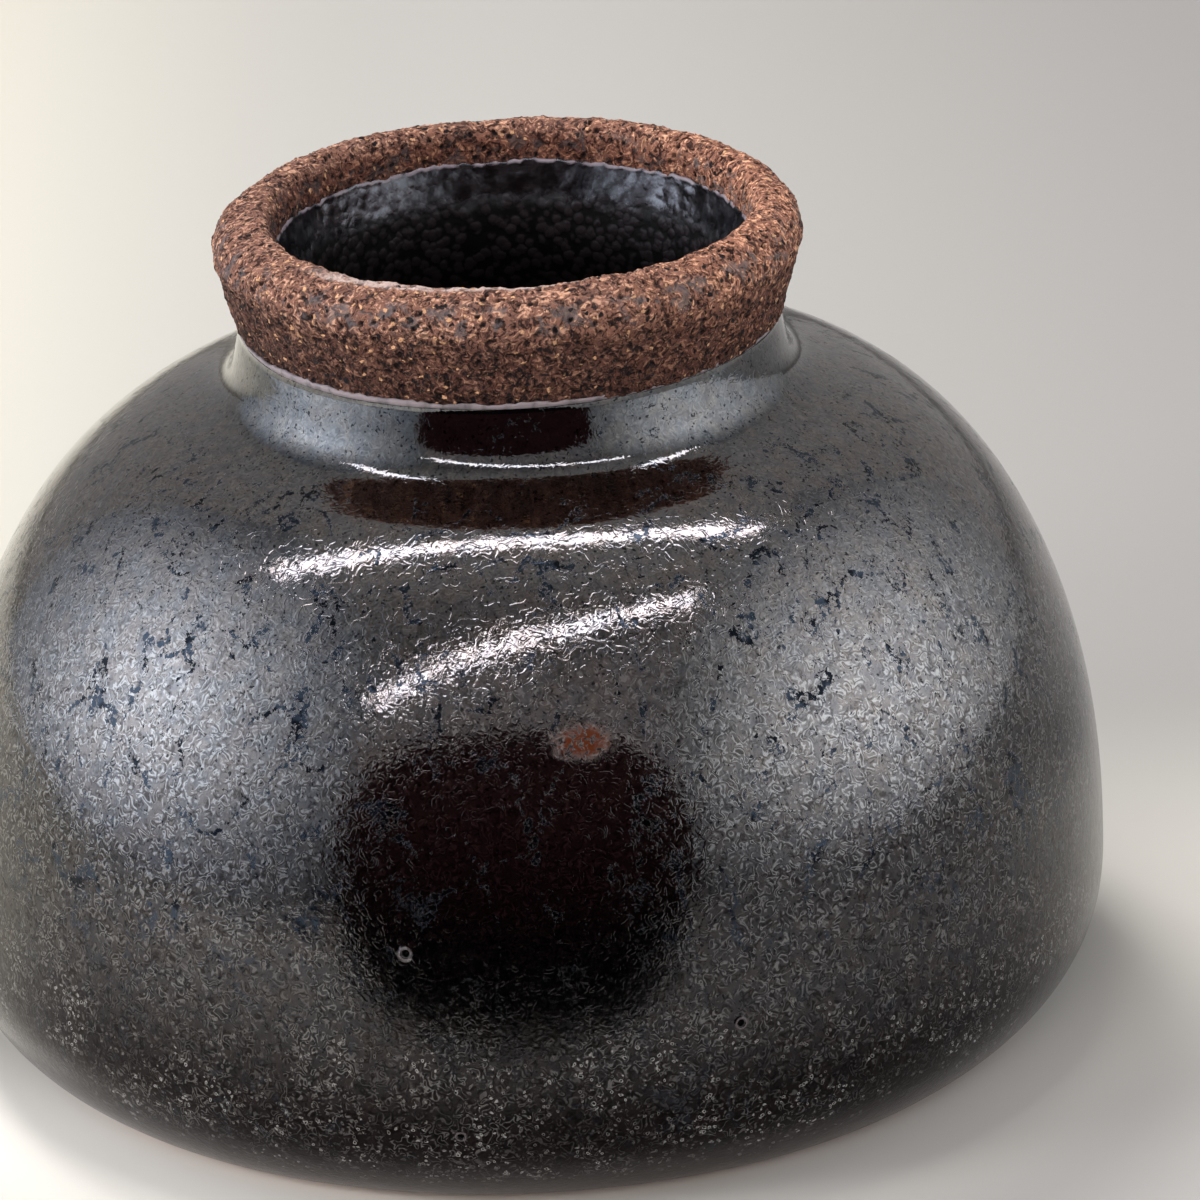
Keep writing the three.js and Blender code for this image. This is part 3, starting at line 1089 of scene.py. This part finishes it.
top_edge = [Vector(p) for p in ((32.05, 109.9), (31.9, 110.0), (31.75, 109.9), (31.65, 109.7))]
inside = top_edge + [THROAT_TOP.lerp(THROAT_FOOT, i / 12) for i in range(13)]
inside += bend(
    THROAT_FOOT, step(THROAT_FOOT, -105, 15.5), step(INNER_SHOULDER, 180 - SHOULDER_SLOPE, 11.4),
    INNER_SHOULDER, 50,
)
inside += bend(
    INNER_SHOULDER, step(INNER_SHOULDER, -SHOULDER_SLOPE, 12.5), step(INNER_BELLY, 90, 40),
    INNER_BELLY, 60,
)
inside += bend(INNER_BELLY, step(INNER_BELLY, -90, 10), step(FLOOR_EDGE, 0, 10), FLOOR_EDGE, 16)
inside += [Vector((FLOOR_EDGE.x * (1 - i / 16), FLOOR_EDGE.y)) for i in range(1, 17)]
back = behind(inside[::10] + [inside[-1]], GLAZE)[:-1]
back = [Vector((min(p.x, BACK_LIMIT), p.y)) if p.y > 103 else p for p in back]
back.append(Vector((31.85, 109.4)))

bm = spin_section(inside + back, INNER_SEGMENTS)
edge_layer = bm.verts.layers.float.new("edge")
for vert in bm.verts:
    p = vert.co.copy()
    vert.co += vert.normal * COBBLE * noise.noise(p / 2.2) * ease(p.z, 109.5, 108)
    if p.z > 107:
        ring = bearing(p)
        wave = 0.45 * noise.noise(ring * 5) + 0.35 * noise.noise(ring * 22)
        wave += 0.25 * noise.noise(ring * 60)
        vert.co.z += ease(p.z, 107, 109.6) * wave
        vert[edge_layer] = ease(p.z, 109.35, 109.8) * ease(noise.noise(ring * 18), -0.35, 0.1)

finish_piece("inner_glaze_coat", bm, inner_finish, "inner_glaze", "inner_glaze")

# %% [markdown]
# ## The base
#
# The base is a disc of the body clay, with a flat foot ring round a shallow turned recess. Only its
# underside and a thin bare line at the foot show. Its section starts and ends on the axis, so it is
# left open there, and the spin closes it at the two poles. Faint noise roughens the underside.

# %% Base
CLAY_DARK_TONE = (0.30, 0.165, 0.11)
CLAY_LIGHT_TONE = (0.38, 0.23, 0.16)
CLAY_SPECK = (0.06, 0.035, 0.03)
BASE_SEGMENTS = 240
BEHIND_GLAZE = 1.1
SCRAPED = 0.08

body_clay, tree, shader, place = new_finish("body_clay")
tone = between(tree, grain(tree, place, 7, 4, 0.6), 0.35, 0.65)
colour = blend(tree, tone, CLAY_DARK_TONE, CLAY_LIGHT_TONE)
specks = between(tree, grain(tree, place, 0.8, 2, 0.6), 0.66, 0.72)
colour = blend(tree, specks, colour, CLAY_SPECK)
join(tree, colour, shader.inputs["Base Color"])
shader.inputs["Roughness"].default_value = 0.9
join(tree, bump(tree, grain(tree, place, 0.6, 4, 0.6), 0.15), shader.inputs["Normal"])

recess = [(0, 1.2), (20, 1.2), (40, 1.2), (50, 1.2), (51, 0.9), (51.7, 0.2), (52.3, 0)]
foot_ring = [(57, 0), (62.6, 0), (63.4, 0.1)]
foot_side = behind([p for p in underside if p.y < 5.2], BEHIND_GLAZE)[::-1]
foot_side = [p for p in foot_side if 0.15 < p.y < 4.0]
top = [(60, 4.0), (60, 7.9), (30, 7.9), (0, 7.9)]
bm = spin_section(recess + foot_ring + foot_side + top, BASE_SEGMENTS, closed=False)
for vert in bm.verts:
    if vert.co.z < 3.5:
        vert.co.z = max(vert.co.z + SCRAPED * noise.noise(vert.co / 2.5), 0.0)
finish_piece("base_disc_clay", bm, body_clay, "body_clay", "base_disc")

# %% [markdown]
# ## The clay under the glaze
#
# The wall and neck sections lie between the two coats of glaze, where nobody sees them. They keep
# their CAD shape and only get the clay finish, so that the jar would still be right if it broke.

# %% Hidden walls
for name in ("belly_wall", "shoulder_wall", "neck_ring"):
    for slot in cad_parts[name].material_slots:
        slot.material = body_clay
print("clay finish on the hidden wall sections")
